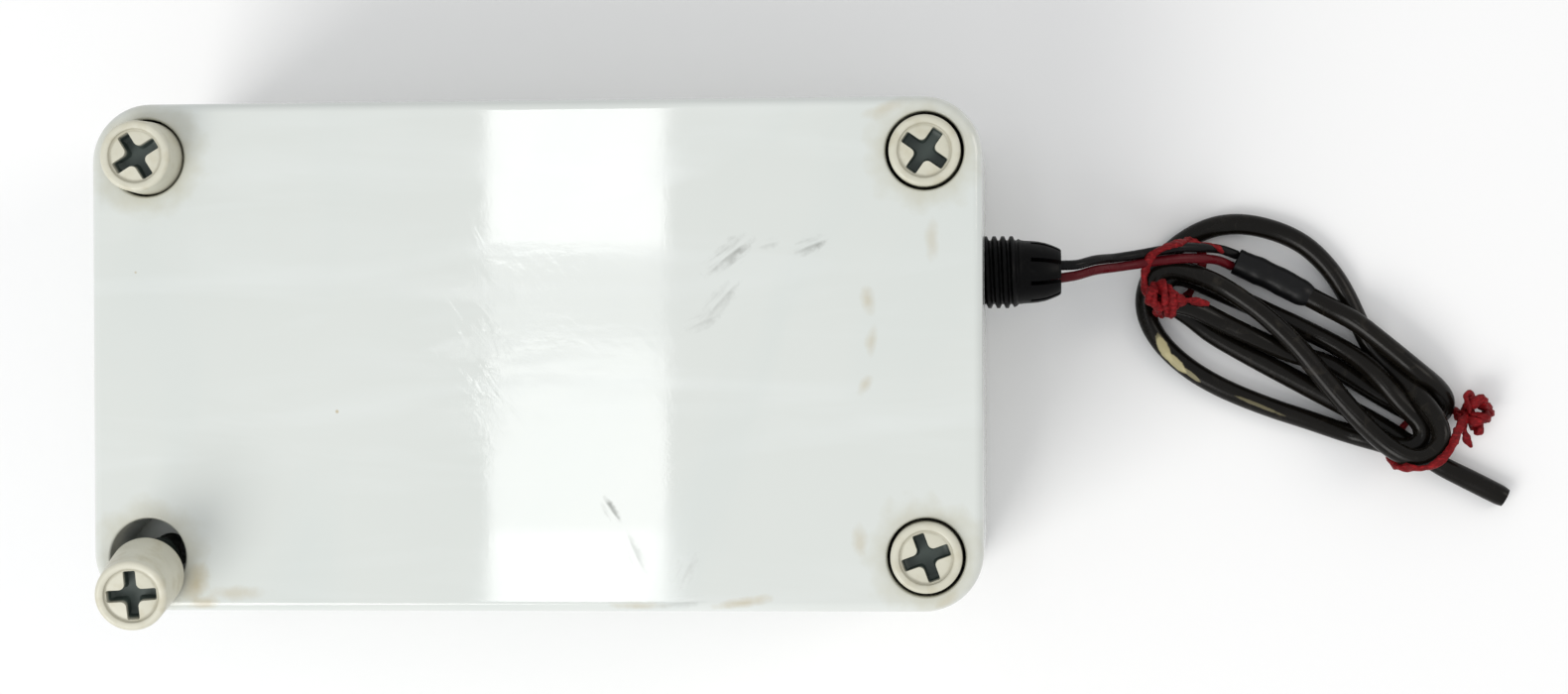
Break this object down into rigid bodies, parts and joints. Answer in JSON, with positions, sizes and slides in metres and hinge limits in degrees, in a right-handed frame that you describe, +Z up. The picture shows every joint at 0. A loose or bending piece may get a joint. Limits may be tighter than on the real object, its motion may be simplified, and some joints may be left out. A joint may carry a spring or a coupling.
{
  "type": "garage door opener",
  "caption": "Pale grey sealed receiver box with cross-slot lid screws, a slotted black cable gland, red and black leads and a tied hank of grey control cable.",
  "frame": {"origin": "centre of the base's flat bottom face, on the surface that the box lies on", "axes": "+X along the box towards the wall with the cable gland, +Z up through the lid, +Y across the box"},
  "size_m": [0.2575, 0.0921, 0.0775],
  "materials": {
    "abs_grey": "smooth moulded ABS, lightly scuffed",
    "screw_grey": "yellowed moulded plastic",
    "black_nylon": "satin black nylon",
    "seal_rubber": "matt black seal",
    "lead_red": "red wire insulation",
    "lead_black": "black wire insulation",
    "cable_grey": "semi-gloss dark grey cable sheath",
    "heat_shrink": "satin black shrink sleeve",
    "tie_red": "crumpled red ribbon",
    "board_green": "green solder mask",
    "relay_blue": "blue relay case",
    "terminal_green": "green terminal block",
    "chip_black": "black moulded epoxy",
    "steel": "plated steel",
    "copper": "enamelled copper wire",
    "led_red": "red tinted epoxy",
    "cell_wrap": "dark printed cell wrap",
    "holder_black": "black moulded plastic",
    "resistor_tan": "tan lacquer"
  },
  "bodies": {
    "base": {"base_shell": "abs_grey", "gland_body": "black_nylon", "gland_seal": "seal_rubber", "circuit_board": "board_green", "board_screw_1": "steel", "board_screw_2": "steel", "board_screw_3": "steel", "board_screw_4": "steel", "terminal_block": "terminal_green", "relay": "relay_blue", "receiver_module": "board_green", "antenna_coil": "copper", "controller_chip": "chip_black", "crystal": "steel", "voltage_regulator": "chip_black", "filter_capacitor": "chip_black", "status_led": "led_red", "flyback_diode": "chip_black", "resistor_1": "resistor_tan", "resistor_2": "resistor_tan", "ceramic_capacitor": "resistor_tan", "power_header": "holder_black", "learn_button_body": "chip_black", "battery_holder": "holder_black", "battery_cell_1": "cell_wrap", "battery_cell_2": "cell_wrap", "battery_cell_3": "cell_wrap", "battery_cell_4": "cell_wrap", "inner_lead_red": "lead_red", "inner_lead_black": "lead_black", "battery_lead_red": "lead_red", "battery_lead_black": "lead_black", "red_lead": "lead_red", "black_lead": "lead_black", "splice_sleeve": "heat_shrink", "cable_hank": "cable_grey", "cable_tail": "cable_grey", "tie_left": "tie_red", "tie_right": "tie_red"},
    "lid": {"lid_shell": "abs_grey", "lid_gasket": "seal_rubber"},
    "screw_rear_left": {"lid_screw_rear_left": "screw_grey"},
    "screw_rear_right": {"lid_screw_rear_right": "screw_grey"},
    "screw_front_left": {"lid_screw_front_left": "screw_grey"},
    "screw_front_right": {"lid_screw_front_right": "screw_grey"},
    "learn_button": {"learn_button_plunger": "holder_black"},
    "terminal_screw_a": {"terminal_screw_1": "steel"},
    "terminal_screw_b": {"terminal_screw_2": "steel"}
  },
  "joints": [
    {"name": "lid_lift", "type": "slide", "parent": "base", "child": "lid", "axis": [0, 0, 1], "range_m": [0, 0.07]},
    {"name": "rear_left_screw_travel", "type": "slide", "parent": "lid", "child": "screw_rear_left", "axis": [0, 0, 1], "range_m": [-0.0067, 0.024]},
    {"name": "rear_right_screw_travel", "type": "slide", "parent": "lid", "child": "screw_rear_right", "axis": [0, 0, 1], "range_m": [-0.0009, 0.03]},
    {"name": "front_left_screw_travel", "type": "slide", "parent": "lid", "child": "screw_front_left", "axis": [0.0938, -0.1855, 0.9781], "range_m": [0, 0.026]},
    {"name": "front_right_screw_travel", "type": "slide", "parent": "lid", "child": "screw_front_right", "axis": [0, 0, 1], "range_m": [-0.0012, 0.03]},
    {"name": "learn_button_press", "type": "slide", "parent": "base", "child": "learn_button", "axis": [0, 0, -1], "range_m": [0, 0.0004], "stiffness_N_per_m": 1500},
    {"name": "terminal_screw_a_turn", "type": "hinge", "parent": "base", "child": "terminal_screw_a", "pos_m": [0.049, 0.0123, 0.018], "axis": [0, 0, 1], "continuous": true},
    {"name": "terminal_screw_b_turn", "type": "hinge", "parent": "base", "child": "terminal_screw_b", "pos_m": [0.049, 0.0175, 0.018], "axis": [0, 0, 1], "continuous": true}
  ]
}
